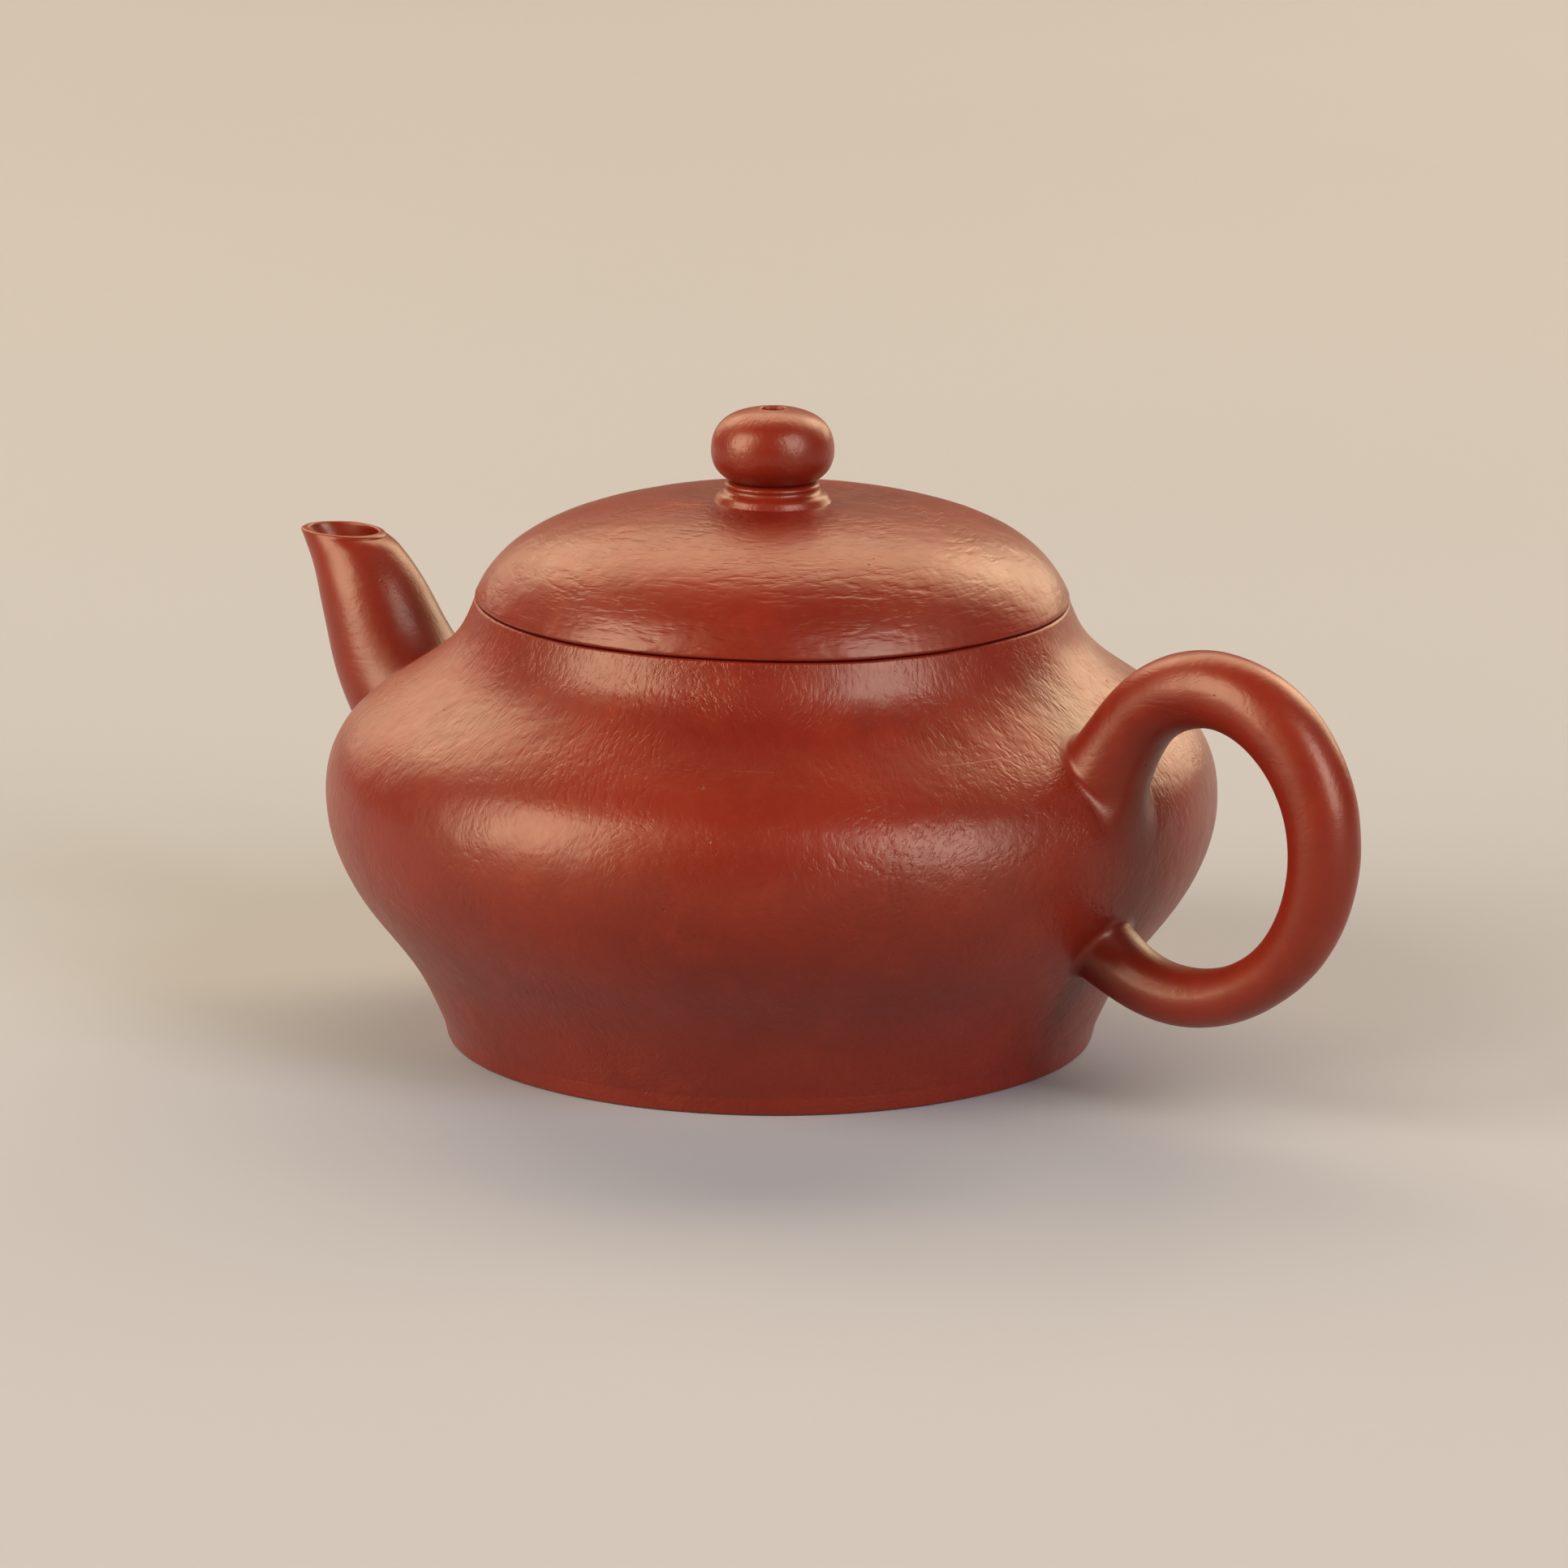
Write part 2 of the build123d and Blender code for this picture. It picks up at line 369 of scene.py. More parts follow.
def turned(name, loop, turns, body, node, **options):
    """A closed outline of (radius, height) turned about the axis. It runs up the outside."""
    angle = round_angles(turns)
    radius, height = loop[:, 0:1], loop[:, 1:2]
    points = np.stack(
        [radius * np.cos(angle), radius * np.sin(angle), np.repeat(height, turns, axis=1)], axis=2
    )
    faces = ring_faces(len(loop), turns, closed_rows=True)
    return make_mesh(name, points.reshape(-1, 3), faces, body, node, **options)


# ------------------------------------------------------------------ tubes: the spout and the handle
class Tube:
    """Round sections along a line in the XZ plane. A place on its skin is a distance along the
    line and an angle round it, which is 0 on its outer side."""

    def __init__(self, line, radii):
        self.line = smooth_line(line, 900)
        self.run = distances(self.line)
        self.length = self.run[-1]
        tangent = unit(np.gradient(self.line, axis=0))
        self.side = np.stack([-tangent[:, 1], tangent[:, 0]], 1)
        stations = np.column_stack([np.linspace(0, self.length, len(radii)), radii])
        smooth = smooth_line(stations, 400)
        self.radius = np.interp(self.run, smooth[:, 0], smooth[:, 1])

    def centre(self, s):
        """The line's place at a distance. Past both ends it runs straight on."""
        x = np.interp(s, self.run, self.line[:, 0])
        z = np.interp(s, self.run, self.line[:, 1])
        beyond = np.where(s < 0, s, np.maximum(s - self.length, 0))
        x = x + beyond * np.interp(s, self.run, self.side[:, 1])
        z = z - beyond * np.interp(s, self.run, self.side[:, 0])
        return np.stack([x, np.zeros_like(x), z], -1)

    def at(self, s, angle, thinner=0.0):
        """The skin's place, or that of a thinner tube inside it."""
        side_x = np.interp(s, self.run, self.side[:, 0])
        side_z = np.interp(s, self.run, self.side[:, 1])
        radius = np.interp(s, self.run, self.radius) - thinner
        out = self.centre(s)
        out[..., 0] += radius * np.cos(angle) * side_x
        out[..., 2] += radius * np.cos(angle) * side_z
        out[..., 1] += radius * np.sin(angle)
        return out


def leaves_body(tube, angle, from_end, wall=lambda s: 0.0, depth=0.0):
    """The distance at which each line along the tube, or along its bore, comes out of the body.
    depth is how far under the body's surface that is."""
    lead = -20
    steps = np.linspace(lead, tube.length * 0.5, 1200)
    s = tube.length - steps if from_end else steps
    found = np.empty(len(angle))
    for j, a in enumerate(angle):
        p = tube.at(s, np.full_like(s, a), wall(s))
        outside = np.hypot(p[:, 0], p[:, 1]) - (radius_at(p[:, 2]) - depth)
        k = np.nonzero(outside < 0)[0][-1]
        t = outside[k] / (outside[k] - outside[k + 1])
        found[j] = s[k] + t * (s[k + 1] - s[k])
    return found


def level_with(direction, normal):
    """A direction turned into the plane that a normal stands on."""
    return unit(direction - (direction * normal).sum(1, keepdims=True) * normal)


def root_fillet(tube, angle, from_end, along, across, rows):
    """Rings that run from the body's surface up on to the tube, tangent to both, and the distance
    at which each line of the tube begins. along and across are how far the fillet reaches up the
    tube and out over the body, one value to an angle."""
    sign = -1.0 if from_end else 1.0
    leave = leaves_body(tube, angle, from_end)
    start = leave + sign * along
    corner = tube.at(leave, angle)
    on_tube = tube.at(start, angle)
    step = 0.05
    down = unit(tube.at(start - sign * step, angle) - on_tube)
    out = level_with(corner - tube.centre(leave), body_normal(corner))
    foot = on_body(corner + across[:, None] * out)
    back = level_with(corner - foot, body_normal(foot))
    reach = 0.62
    p1 = on_tube + reach * along[:, None] * down
    p2 = foot + reach * across[:, None] * back
    rings = [cubic(on_tube, p1, p2, foot, t) for t in np.linspace(1, 0, rows)]
    # the first ring is just under the body's skin, so that no edge of the fillet stands off it
    rings[0] = on_body(rings[0], sink=0.04)
    return rings, start


def around(angle, outer, inner, flank):
    """A value that varies smoothly round a tube, given on its outer, inner and two flank sides."""
    c = np.cos(angle)
    return flank + np.where(c > 0, (outer - flank) * c**2, (inner - flank) * c**4)


def root_cap(ring):
    """Rings under the body's skin that close a root, from its edge to its middle point."""
    sink = 0.7
    middle = on_body(ring.mean(axis=0, keepdims=True), sink=sink)
    return [on_body(ring + t * (middle - ring), sink=sink) for t in (0.08, 0.5, 0.9)], middle


def build_handle():
    """The loop: a wide web inside the upper root, and tight joints everywhere else."""
    tube = Tube(HANDLE_LINE, HANDLE_RADII)
    angle = round_angles(HANDLE_TURNS)
    upper, first = root_fillet(
        tube, angle, False,
        along=around(angle, outer=1.1, inner=5.5, flank=0.8),
        across=around(angle, outer=1.1, inner=5.0, flank=0.8),
        rows=14,
    )
    tight = np.full_like(angle, 0.9)
    lower, last = root_fillet(tube, angle, True, along=tight, across=tight, rows=9)
    rows = 190
    loop = [tube.at(first + t * (last - first), angle) for t in np.linspace(0, 1, rows)[1:-1]]
    start_cap, start_middle = root_cap(upper[0])
    stop_cap, stop_middle = root_cap(lower[0])
    rings = start_cap[::-1] + upper + loop + lower[::-1] + stop_cap
    points, faces = capped(rings, start_middle, stop_middle)
    return make_mesh("handle_form", points, faces, "pot", "handle")


def round_over(rings, tube, top, angle):
    """Wear the edge of the spout's mouth back on the side that faces the lid."""
    middle = tube.centre(top)
    facing_lid = ((1 - np.cos(angle)) / 2) ** 2
    deepest, worn_rings = 0.45, 11
    for back in range(worn_rings):
        worn = deepest * (1 - back / worn_rings) ** 2 * facing_lid
        rings[-1 - back] = rings[-1 - back] - worn[:, None] * unit(rings[-1 - back] - middle)


def build_spout():
    """The spout, with its bore open from the body to the mouth."""
    tube = Tube(SPOUT_LINE, SPOUT_RADII)
    angle = round_angles(SPOUT_TURNS)

    def wall(s):
        return np.interp(s, [0, tube.length], SPOUT_WALLS)

    def at_level(level, thinner):
        s = np.linspace(tube.length * 0.6, tube.length, 500)
        skins = [tube.at(s, np.full_like(s, a), thinner(s)) for a in angle]
        return np.array([np.interp(level, p[:, 2], s) for p in skins])

    rings, first = root_fillet(
        tube, angle, False,
        along=around(angle, outer=3.2, inner=3.2, flank=3.0),
        across=around(angle, outer=3.0, inner=3.0, flank=2.6),
        rows=18,
    )
    edge_level = SPOUT_MOUTH - 0.5 * SPOUT_LIP
    top = at_level(edge_level, lambda s: 0.0)
    bore_top = at_level(edge_level, wall)
    bore_root = leaves_body(tube, angle, False, wall, depth=0.15)
    rings += [tube.at(first + t * (top - first), angle) for t in np.linspace(0, 1, 90)[1:]]
    round_over(rings, tube, top, angle)
    outer_foot, outer_edge = rings[0], rings[-1]
    inner_edge = tube.at(bore_top, angle, wall(bore_top))
    for turn in np.linspace(0, math.pi, 16)[1:-1]:
        ring = outer_edge + (1 - math.cos(turn)) / 2 * (inner_edge - outer_edge)
        ring[:, 2] += SPOUT_LIP * math.sin(turn)
        rings.append(ring)
    for t in np.linspace(0, 1, 50):
        s = bore_top + t * (bore_root - bore_top)
        rings.append(tube.at(s, angle, wall(s)))
    inner_foot = rings[-1]
    # the spout's end closes just under the body's skin
    for t in (0.25, 0.5, 0.75):
        rings.append(on_body(inner_foot + t * (outer_foot - inner_foot), sink=0.3))
    faces = ring_faces(len(rings), len(angle), closed_rows=True)
    return make_mesh("spout_form", np.concatenate(rings), faces, "pot", "spout")


# ------------------------------------------------------------------ the pot's turned pieces
def seam_points(level, step):
    """The outline at a seam and a very short step from it. So short a row lets the light run
    over the seam without a break."""
    return [(float(radius_at(z)), z) for z in (level, level + step)]


def build_wall():
    """The beaten wall, from the foot ring to the shoulder's seam. It gives back the radius inside
    its foot."""
    outer = OUTER_LINE[OUTER_LINE[:, 1] <= SHOULDER_SEAM]
    inner = INNER_LINE[INNER_LINE[:, 1] <= SHOULDER_SEAM][::-1]
    inner = inner[inner[:, 1] >= FOOT_HEIGHT]
    wall = join(
        seam_points(FOOT_HEIGHT, SEAM_ROW),
        even(outer, 105)[1:-1],
        seam_points(SHOULDER_SEAM, -SEAM_ROW)[::-1],
        even(inner, 40),
        [(inner[-1][0], FOOT_HEIGHT)],
    )
    pierce(turned("body_wall_form", wall, TURNS, "pot", "body_wall"))
    return inner[-1][0]


def build_shoulder():
    """The upper disc, from the seam to the flat rim of the mouth."""
    between = (OUTER_LINE[:, 1] >= SHOULDER_SEAM) & (OUTER_LINE[:, 1] < RIM_HEIGHT - RIM_EDGE)
    outer = OUTER_LINE[between]
    inner = INNER_LINE[INNER_LINE[:, 1] >= SHOULDER_SEAM][::-1]
    rim = rounded(
        [tuple(outer[-1]), (RIM_RADIUS, RIM_HEIGHT), (MOUTH_RADIUS, RIM_HEIGHT), tuple(inner[0])],
        [0, RIM_EDGE, 1.5 * RIM_EDGE, 0],
    )
    shoulder = join(seam_points(SHOULDER_SEAM, SEAM_ROW), even(outer, 62)[1:], rim, even(inner, 34))
    turned("shoulder_form", shoulder, TURNS, "pot", "shoulder")


def build_foot():
    """The ring that the pot stands on. Its inner face leans in a little towards its top."""
    inner_radius = FOOT_RADIUS - FOOT_WIDTH
    lean_in = 0.3
    top_radius = OUTLINE[0][0]
    foot = rounded(
        [
            (inner_radius, 0),
            (FOOT_RADIUS, 0),
            (top_radius - 0.2 * SEAM_ROW, FOOT_HEIGHT - SEAM_ROW),
            (top_radius, FOOT_HEIGHT),
            (inner_radius - lean_in, FOOT_HEIGHT),
        ],
        [*FOOT_EDGES, 0.0, 0.0, 0.0],
    )
    turned("foot_ring_form", foot, TURNS, "pot", "foot_ring")


def build_base(radius):
    """The base slab. Its underside is pressed up very slightly in the middle."""
    angle = round_angles(BASE_TURNS)
    overlap, innermost = 0.1, 0.6
    across = np.linspace(innermost, radius + overlap, 40)

    def ring(r, height):
        return np.stack([r * np.cos(angle), r * np.sin(angle), np.full(BASE_TURNS, height)], 1)

    rings = [ring(r, FOOT_HEIGHT + BASE_RISE * (1 - (r / radius) ** 2)) for r in across]
    rings += [ring(r, BASE_TOP) for r in across[::-1]]
    under_middle = np.array([[0, 0, FOOT_HEIGHT + BASE_RISE]])
    top_middle = np.array([[0, 0, BASE_TOP]])
    points, faces = capped(rings, under_middle, top_middle)
    return make_mesh("base_disc_form", points, faces, "pot", "base_disc", slot="plain_clay")


def pierce(body_wall):
    """Cut the seven strainer holes through the wall behind the spout."""
    places = [(0.0, 0.0)]
    for i in range(6):
        turn = i * math.pi / 3
        places.append((HOLE_PITCH * math.cos(turn), HOLE_PITCH * math.sin(turn)))
    outside, inside = -BELLY_RADIUS - 2, -BELLY_RADIUS + 8
    points, faces = [], []
    for y, z in places:
        first = len(points)
        for x in (outside, inside):
            for a in round_angles(HOLE_TURNS):
                across, up = HOLE_RADIUS * math.cos(a), HOLE_RADIUS * math.sin(a)
                points.append((x, y + across, HOLE_LEVEL + z + up))
        for face in ring_faces(2, HOLE_TURNS):
            faces.append(tuple(first + corner for corner in face))
        faces.append(tuple(first + j for j in reversed(range(HOLE_TURNS))))
        faces.append(tuple(first + HOLE_TURNS + j for j in range(HOLE_TURNS)))
    mesh = bpy.data.meshes.new("strainer_drills")
    mesh.from_pydata([tuple(c * MM for c in p) for p in points], [], faces)
    drills = bpy.data.objects.new("strainer_drills", mesh)
    bpy.context.scene.collection.objects.link(drills)
    cut = body_wall.modifiers.new("strainer", "BOOLEAN")
    cut.operation = "DIFFERENCE"
    cut.solver = "EXACT"
    cut.object = drills
    apply_modifiers(body_wall)
    bpy.data.objects.remove(drills)


def apply_modifiers(piece):
    """Replace a piece's mesh with what its modifiers make of it, smooth-shaded."""
    graph = bpy.context.evaluated_depsgraph_get()
    result = bpy.data.meshes.new_from_object(piece.evaluated_get(graph), depsgraph=graph)
    piece.modifiers.clear()
    piece.data = result
    for polygon in result.polygons:
        polygon.use_smooth = True


# ------------------------------------------------------------------ the lid's turned pieces
def build_lid():
    """The domed cover, and the flange that drops into the mouth."""
    bore = FLANGE_RADIUS - FLANGE_THICKNESS
    ceiling = LID_TOP - LID_THICKNESS
    dome = bezier((LID_RADIUS, LID_EDGE), LID_CORNER, (LID_FLAT, LID_TOP), (0, LID_TOP), 1500)
    dome = dome[(dome[:, 1] > LID_EDGE + LID_LIP) & (dome[:, 0] >= VENT_RADIUS)]
    under = bezier((0, ceiling), (CEILING_FLAT, ceiling), CEILING_CORNER, (bore, FLANGE_TOP), 600)
    under = under[under[:, 0] >= VENT_RADIUS]
    lip_start = (LID_RADIUS - LID_LIP_WIDTH, LID_EDGE)
    lip_bend = (LID_RADIUS - 0.3, LID_EDGE)
    lip_rise = (dome[0][0] + 0.08, dome[0][1] - 0.26)
    loop = join(
        bezier(lip_start, lip_bend, lip_rise, dome[0], 8),
        even(dome, 120),
        [(VENT_RADIUS, ceiling)],
        even(under, 44),
        np.linspace((bore, FLANGE_TOP), (FLANGE_RADIUS, FLANGE_TOP), 3),
        np.linspace((FLANGE_RADIUS, FLANGE_TOP), (FLANGE_RADIUS, LID_EDGE), 4),
        np.linspace((FLANGE_RADIUS, LID_EDGE), lip_start, 5),
    )
    turned("lid_dome_form", loop, TURNS, "lid", "lid_dome")

    flange = rounded(
        [
            (bore, FLANGE_BOTTOM),
            (FLANGE_RADIUS, FLANGE_BOTTOM),
            (FLANGE_RADIUS, FLANGE_TOP),
            (bore, FLANGE_TOP),
        ],
        [FLANGE_EDGE, FLANGE_EDGE, 0.0, 0.0],
    )
    flange = join(even(np.vstack([flange, flange[:1]]), 90))
    turned("lid_flange_form", flange, TURNS, "lid", "lid_flange", slot="plain_clay")


def build_knob():
    """The flattened ball, open at the vent. It ends just inside the collar."""
    above = KNOB_TOP - KNOB_CENTRE + KNOB_OVER
    top, bottom = KNOB_CENTRE + above, KNOB_CENTRE - KNOB_BELOW
    crown = bezier(
        (0, top),
        (KNOB_FULL_ABOVE * KNOB_RADIUS, top),
        (KNOB_RADIUS, KNOB_CENTRE + KNOB_FULL_ABOVE * above),
        (KNOB_RADIUS, KNOB_CENTRE),
        500,
    )
    belly = bezier(
        (KNOB_RADIUS, KNOB_CENTRE),
        (KNOB_RADIUS, KNOB_CENTRE - KNOB_FULL_BELOW * KNOB_BELOW),
        (KNOB_FULL_BELOW * KNOB_RADIUS, bottom),
        (0, bottom),
        500,
    )
    overlap, vent_depth = 0.1, 0.6
    seat = COLLAR_TOP - overlap
    crown = crown[crown[:, 0] > VENT_RADIUS + VENT_EDGE][::-1]
    belly = belly[belly[:, 1] > seat][::-1]
    vent_top = (VENT_RADIUS, top - vent_depth)
    vent = bezier(crown[-1], (VENT_RADIUS + 0.12, top + 0.02), (VENT_RADIUS, top - 0.1), vent_top, 9)
    loop = join(
        even(belly, 40),
        even(crown, 56),
        vent,
        np.linspace(vent_top, (VENT_RADIUS, seat), 16),
        np.linspace((VENT_RADIUS, seat), belly[0], 5),
    )
    turned("knob_form", loop, SMALL_TURNS, "lid", "knob")


def build_collar():
    """The small stepped ring under the ball."""
    neck_bore = (VENT_RADIUS, COLLAR_NECK[1])
    foot_bore = (VENT_RADIUS, COLLAR_FOOT[1])
    loop = join(
        smooth_line(COLLAR_OUTLINE, 60),
        np.linspace(COLLAR_NECK, neck_bore, 6),
        np.linspace(neck_bore, foot_bore, 6),
        np.linspace(foot_bore, COLLAR_FOOT, 6),
    )
    turned("knob_collar_form", loop, SMALL_TURNS, "lid", "knob_collar")


# ------------------------------------------------------------------ clay
class Nodes:
    """A short way to write a material's node tree."""

    def __init__(self, name):
        self.material = bpy.data.materials.new(name)
        self.material.use_nodes = True
        self.tree = self.material.node_tree
        self.shader = self.tree.nodes["Principled BSDF"]

    def put(self, socket, value):
        """Link a socket to another, or give it a constant."""
        if isinstance(value, bpy.types.NodeSocket):
            self.tree.links.new(value, socket)
        else:
            socket.default_value = value

    def add(self, kind, inputs, **settings):
        """A new node with its settings and inputs."""
        node = self.tree.nodes.new(kind)
        for key, value in settings.items():
            setattr(node, key, value)
        for key, value in inputs.items():
            self.put(node.inputs[key], value)
        return node

    def shade(self, **inputs):
        """Inputs of the material's shader, with _ for each space in a name."""
        for key, value in inputs.items():
            self.put(self.shader.inputs[key.replace("_", " ")], value)

    def math(self, operation, *values):
        """The result of a sum or other operation on its values."""
        return self.add("ShaderNodeMath", dict(enumerate(values)), operation=operation).outputs[0]

    def times(self, a, b):
        """One value multiplied by another."""
        return self.math("MULTIPLY", a, b)

    def vector(self, x, y, z):
        """Three values as one place."""
        return self.add("ShaderNodeCombineXYZ", {0: x, 1: y, 2: z}).outputs[0]

    def noise(self, vector, scale, detail=2.0, roughness=0.5, distortion=0.0, w=None):
        """Noise over a place. With w it also changes along a fourth direction."""
        inputs = {"Vector": vector, "Scale": scale, "Detail": detail, "Roughness": roughness}
        inputs["Distortion"] = distortion
        if w is not None:
            inputs["W"] = w
        dimensions = "3D" if w is None else "4D"
        return self.add("ShaderNodeTexNoise", inputs, noise_dimensions=dimensions).outputs[0]

    def ramp(self, value, start, stop):
        """A smooth rise from 0 to 1 between two values."""
        inputs = {0: value, 1: start, 2: stop}
        return self.add("ShaderNodeMapRange", inputs, interpolation_type="SMOOTHSTEP").outputs[0]

    def mix(self, share, a, b):
        """A mix of two colours."""
        return self.add("ShaderNodeMix", {0: share, 6: a, 7: b}, data_type="RGBA").outputs[2]

    def bump(self, height, distance, normal=None):
        """A normal tilted by a height, whose full rise is a distance in millimetres."""
        inputs = {"Height": height, "Distance": distance * MM, "Strength": 1.0}
        if normal is not None:
            inputs["Normal"] = normal
        return self.add("ShaderNodeBump", inputs).outputs[0]


RED = (0.184, 0.0112, 0.0036, 1)
DEEP_RED = (0.142, 0.0070, 0.0022, 1)
ORANGE = (0.23, 0.020, 0.0066, 1)
# the colour of the painted shade inside the pits
PIT_SHADE_RED = (0.08, 0.008, 0.005, 1)
SHEEN = (1.0, 0.78, 0.50, 1)    # the tint of what burnished clay mirrors
PIT_DEPTH = 0.05
LID_STROKES_FROM = 47.7         # the level of the rim, where the strokes change their run
DEEP_STROKES_FROM = 51.0        # and the level from which they are deepest


def burnishing(n, place):
    """The grooves of burnishing strokes. They run down the pot and round the lid."""
    x, y, z = n.add("ShaderNodeSeparateXYZ", {0: place}).outputs
    radius = n.math("SQRT", n.math("ADD", n.times(x, x), n.times(y, y)))
    safe = n.math("MAXIMUM", radius, 0.5)
    east, north = n.math("DIVIDE", x, safe), n.math("DIVIDE", y, safe)
    # down the pot: narrow across, long in height, leaning this way and that
    lean = n.math("MULTIPLY_ADD", n.noise(place, scale=0.05, detail=1.0), 0.9, n.times(z, 0.010))
    down_place = n.vector(east, north, n.times(z, 0.015))
    down = n.noise(down_place, scale=66.0, detail=2.5, roughness=0.55, w=lean)
    # round the lid: narrow in height, long round
    round_place = n.vector(n.times(east, 4.2), n.times(north, 4.2), n.times(z, 0.55))
    outwards = n.times(radius, 0.45)
    round_lid = n.noise(round_place, scale=2.4, detail=2.5, roughness=0.55, w=outwards)
    on_lid = n.ramp(z, LID_STROKES_FROM, LID_STROKES_FROM + 0.1)
    strokes = n.add("ShaderNodeMix", {0: on_lid, 2: down, 3: round_lid}).outputs[0]
    # they come and go over the surface, and are deeper on the lid
    patch = n.ramp(n.noise(place, scale=0.085, detail=2.0), 0.38, 0.62)
    groove = n.times(n.ramp(strokes, 0.44, 0.72), n.math("MULTIPLY_ADD", patch, 0.7, 0.35))
    deeper = n.ramp(z, LID_STROKES_FROM, DEEP_STROKES_FROM)
    return n.times(groove, n.math("MULTIPLY_ADD", deeper, 0.6, 1.0))


def pulled_grains(n, place):
    """Small pits, in one cell in five, where a grain of the clay has pulled out."""
    cells = n.add("ShaderNodeTexVoronoi", {"Vector": place, "Scale": 0.30}, feature="F1")
    colour = n.add("ShaderNodeSeparateColor", {0: cells.outputs["Color"]})
    chosen = n.math("LESS_THAN", colour.outputs[0], 0.2)
    inside = n.math("SUBTRACT", 1.0, n.ramp(cells.outputs["Distance"], 0.02, 0.075))
    return n.times(inside, chosen)


def clay_colour(n, place, pit_and_shade):
    """Clouds of deeper red and orange, fine light grains, and painted shade that darkens the pits."""
    cloud = n.noise(place, scale=0.055, detail=3.0, roughness=0.55, distortion=0.4)
    colour = n.mix(n.ramp(cloud, 0.3, 0.72), DEEP_RED, RED)
    warm_patch = n.ramp(n.noise(place, scale=0.16, detail=4.0, roughness=0.65), 0.5, 0.8)
    colour = n.mix(n.times(warm_patch, 0.45), colour, ORANGE)
    speckle = n.ramp(n.noise(place, scale=3.4, detail=2.0, roughness=0.6), 0.58, 0.74)
    colour = n.mix(n.times(speckle, 0.22), colour, ORANGE)
    # painted shade: the colour is darkened inside the pits
    return n.mix(n.times(pit_and_shade, 0.6), colour, PIT_SHADE_RED)


def clay(name, roughness, wrinkles, grain, coat):
    """Unglazed red clay. wrinkles and grain are heights in millimetres."""
    n = Nodes(name)
    metres = n.add("ShaderNodeTexCoord", {}).outputs["Object"]
    place = n.add("ShaderNodeVectorMath", {0: metres, "Scale": 1 / MM}, operation="SCALE").outputs[0]
    # the pits' mask, used for their bump and for the painted shade in them
    pit_and_shade = pulled_grains(n, place)

    ripple = n.noise(place, scale=0.55, detail=1.5, roughness=0.5)
    skin = n.noise(place, scale=1.7, detail=2.0, roughness=0.55)
    normal = n.bump(ripple, 2.2 * wrinkles)
    normal = n.bump(n.times(burnishing(n, place), -1.0), wrinkles, normal)
    normal = n.bump(skin, grain, normal)
    normal = n.bump(n.times(pit_and_shade, -1.0), PIT_DEPTH, normal)

    polish = n.noise(place, scale=0.5, detail=3.0, roughness=0.6)
    spread = 0.16
    rough = n.math("MULTIPLY_ADD", polish, spread, roughness - spread / 2)
    rough = n.math("ADD", rough, n.times(pit_and_shade, 0.2))

    n.shade(Base_Color=clay_colour(n, place, pit_and_shade), Roughness=rough, Normal=normal)
    n.shade(IOR=1.5, Specular_IOR_Level=0.5, Specular_Tint=SHEEN)
    n.shade(Coat_Weight=coat, Coat_Roughness=0.24, Coat_Normal=normal)
    return n.material


def dress_pieces():
    """Give each piece its clay."""
    burnished = clay("burnished_clay", roughness=0.41, wrinkles=0.034, grain=0.012, coat=0.2)
    rolled = clay("rolled_clay", roughness=0.41, wrinkles=0.013, grain=0.012, coat=0.2)
    plain = clay("plain_clay", roughness=0.6, wrinkles=0.025, grain=0.02, coat=0.0)
    clays = {
        "body_wall_form": burnished,
        "shoulder_form": burnished,
        "foot_ring_form": burnished,
        "lid_dome_form": burnished,
        "spout_form": rolled,
        "handle_form": rolled,
        "knob_form": rolled,
        "knob_collar_form": rolled,
        "base_disc_form": plain,
        "lid_flange_form": plain,
    }
    for name, material in clays.items():
        materials = bpy.data.objects[name].data.materials
        materials.clear()
        materials.append(material)


# ------------------------------------------------------------------ floor, lights, camera
VIEW_AZIMUTH = 38.0        # the plane of the spout and handle is turned this far from the picture's
FLOOR_TONES = ((0.32, 0.335, 0.36, 1), (0.35, 0.365, 0.39, 1))
SOFTBOX_DISTANCE = 1.6     # metres
SOFTBOX_AIM = 0.03         # metres above the table
WARM, SOFT, PINK = (1.0, 0.77, 0.50), (1.0, 0.86, 0.70), (1.0, 0.90, 0.92)
# Azimuth counted from the camera's, elevation, angles across and up as seen from the pot
# (all in degrees), brightness and colour.
SOFTBOXES = {
    "back_high": (180, 46, 72, 31, 3.8, WARM),
    "back_left": (-147, 22, 28, 34, 2.0, WARM),
    "back_right": (143, 22, 28, 34, 4.5, WARM),
    "front_left": (-66, 26, 33, 44, 9.6, SOFT),
    "front_right": (46, 28, 25, 42, 8.8, PINK),
}
SKY = (0.86, 0.87, 0.9, 1)
SKY_STRENGTH = 0.08
CAMERA_LENS = 173.633
CAMERA_DISTANCE = 0.79393  # metres from the pot's axis
CAMERA_HEIGHT = 0.21678    # metres
CAMERA_PITCH, CAMERA_YAW, CAMERA_ROLL = -13.4276, 0.0976, 0.3108


def build_stage():
    """A plain pale floor."""
    innermost, outermost = 0.05, 4.0    # metres
    rings = np.geomspace(innermost, outermost, 24)
    columns = 96
    points = [(r * math.cos(a), r * math.sin(a), 0.0) for r in rings for a in round_angles(columns)]
    faces = ring_faces(len(rings), columns)
    faces.append(tuple(reversed(range(columns))))
    mesh = bpy.data.meshes.new("floor")
    mesh.from_pydata(points, [], faces)
    floor = bpy.data.objects.new("floor", mesh)
    bpy.context.scene.collection.objects.link(floor)
    n = Nodes("pale_floor")
    place = n.add("ShaderNodeTexCoord", {}).outputs["Object"]
    n.shade(Base_Color=n.mix(n.noise(place, scale=3.0, detail=3.0), *FLOOR_TONES), Roughness=0.7)
    mesh.materials.append(n.material)


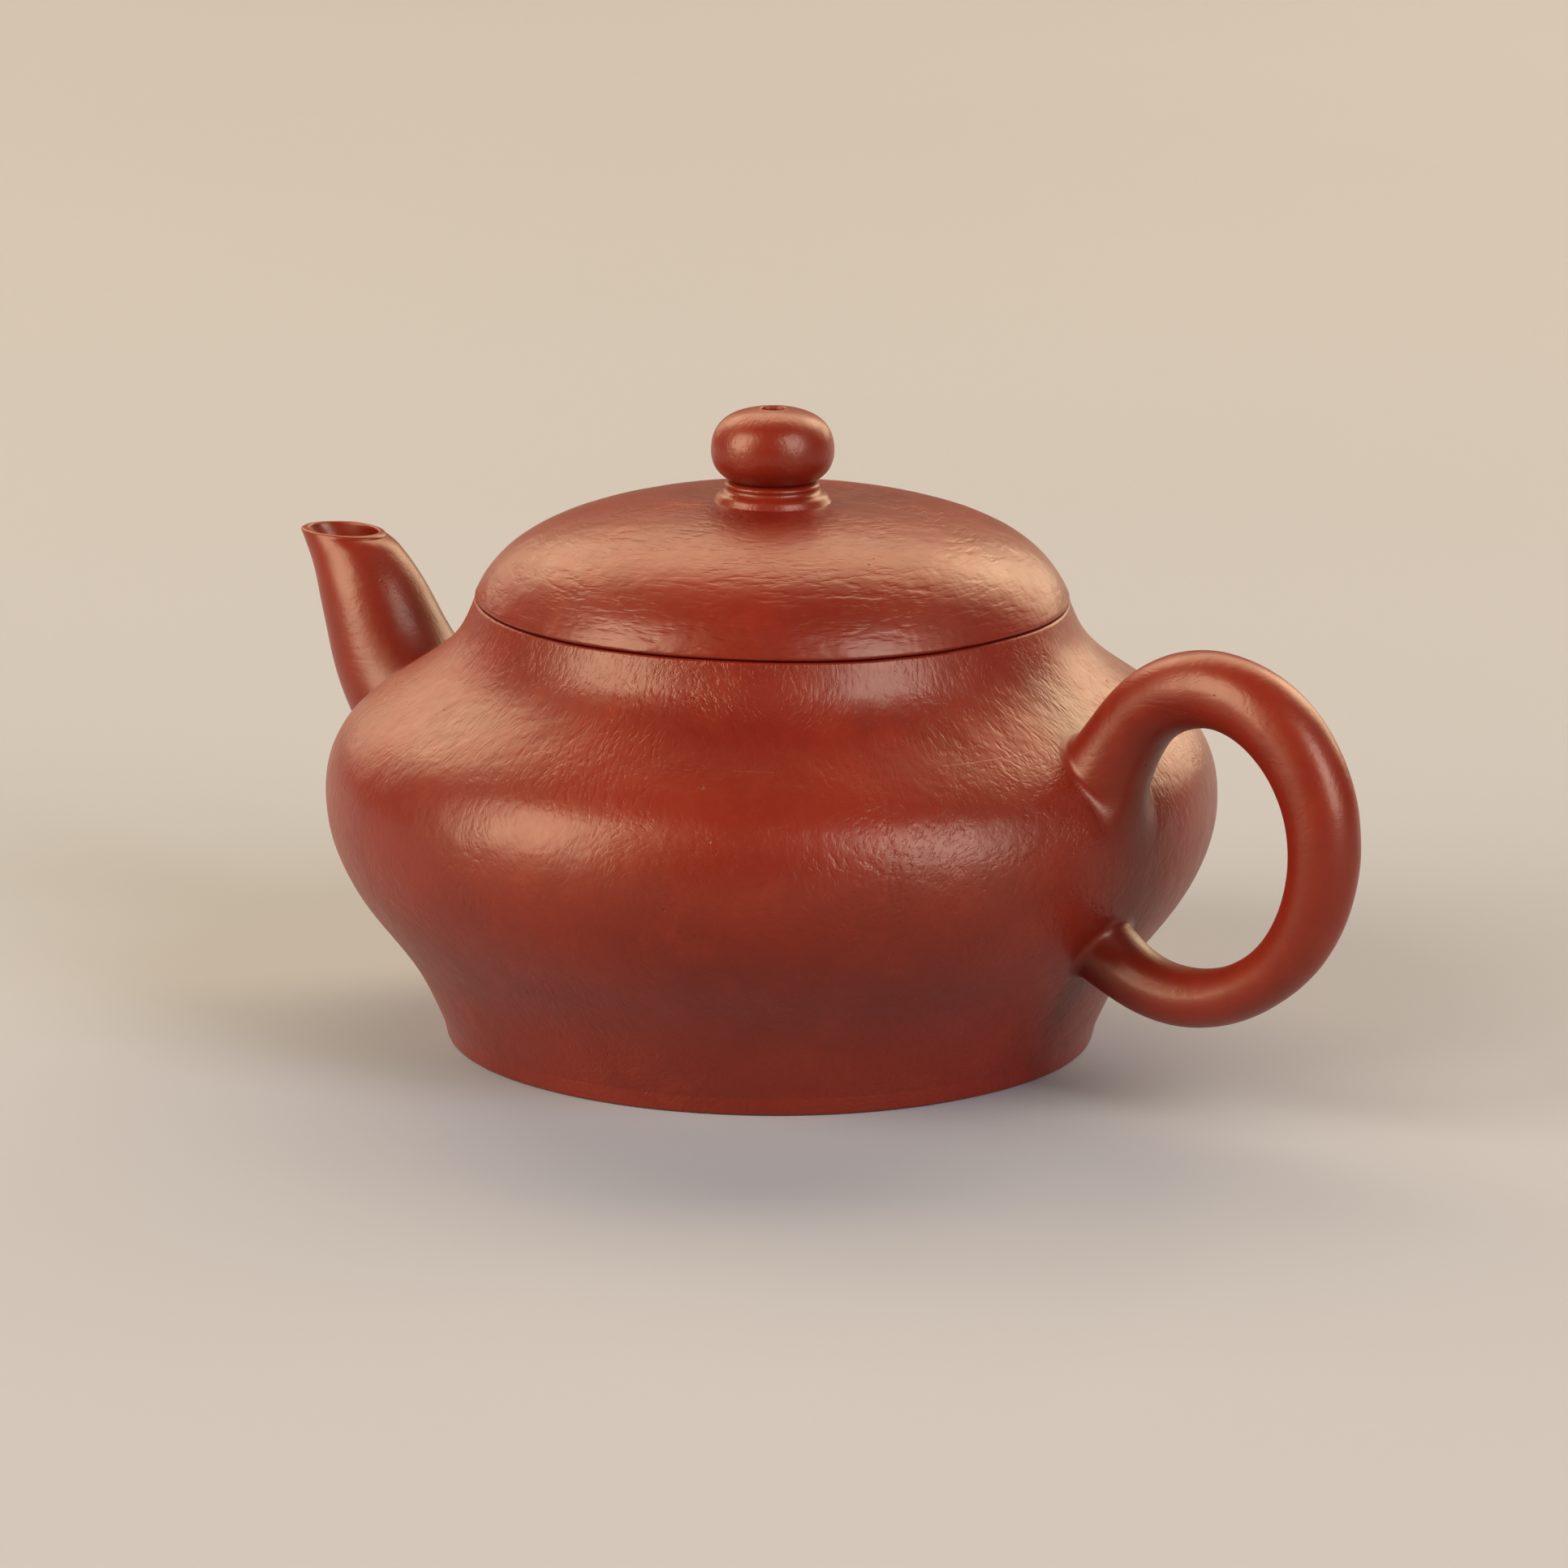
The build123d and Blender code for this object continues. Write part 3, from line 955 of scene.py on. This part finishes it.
def softbox(name, azimuth, elevation, across, up, brightness, colour):
    """A soft light that faces the pot. It shines equally bright at any size."""
    width = 2 * SOFTBOX_DISTANCE * math.tan(math.radians(across / 2))
    height = 2 * SOFTBOX_DISTANCE * math.tan(math.radians(up / 2))
    data = bpy.data.lights.new(name, "AREA")
    data.shape = "RECTANGLE"
    data.size, data.size_y = width, height
    data.energy = brightness * math.pi * width * height
    data.color = colour
    lamp = bpy.data.objects.new(name, data)
    bpy.context.scene.collection.objects.link(lamp)
    turn, lift = math.radians(VIEW_AZIMUTH + azimuth), math.radians(elevation)
    away = (math.sin(turn) * math.cos(lift), -math.cos(turn) * math.cos(lift), math.sin(lift))
    lamp.location = np.array(away) * SOFTBOX_DISTANCE + np.array([0, 0, SOFTBOX_AIM])
    lamp.rotation_euler = (math.pi / 2 - lift, 0, turn)
    lamp.visible_camera = False


def build_lights():
    """A dim even sky, and five softboxes round the pot."""
    world = bpy.data.worlds.new("studio")
    bpy.context.scene.world = world
    world.use_nodes = True
    background = world.node_tree.nodes["Background"]
    background.inputs["Color"].default_value = SKY
    background.inputs["Strength"].default_value = SKY_STRENGTH
    for name, values in SOFTBOXES.items():
        softbox(name, *values)


def build_camera():
    """A long lens a little above the pot, level with the photograph's view."""
    data = bpy.data.cameras.new("camera")
    data.sensor_width = 36.0
    data.lens = CAMERA_LENS
    data.clip_end = 50.0
    camera = bpy.data.objects.new("camera", data)
    bpy.context.scene.collection.objects.link(camera)
    turn = math.radians(VIEW_AZIMUTH)
    camera.location = (
        CAMERA_DISTANCE * math.sin(turn),
        -CAMERA_DISTANCE * math.cos(turn),
        CAMERA_HEIGHT,
    )
    aim = (
        Matrix.Rotation(turn - math.radians(CAMERA_YAW), 4, "Z")
        @ Matrix.Rotation(math.radians(90 + CAMERA_PITCH), 4, "X")
        @ Matrix.Rotation(math.radians(CAMERA_ROLL), 4, "Z")
    )
    camera.rotation_euler = aim.to_euler()
    bpy.context.scene.camera = camera


# ------------------------------------------------------------------ the scene
build_camera()
build_stage()
build_lights()
inner_foot_radius = build_wall()
build_shoulder()
build_foot()
build_base(inner_foot_radius)
build_spout()
build_handle()
build_lid()
build_knob()
build_collar()
dress_pieces()
bpy.context.scene.view_settings.view_transform = "Standard"
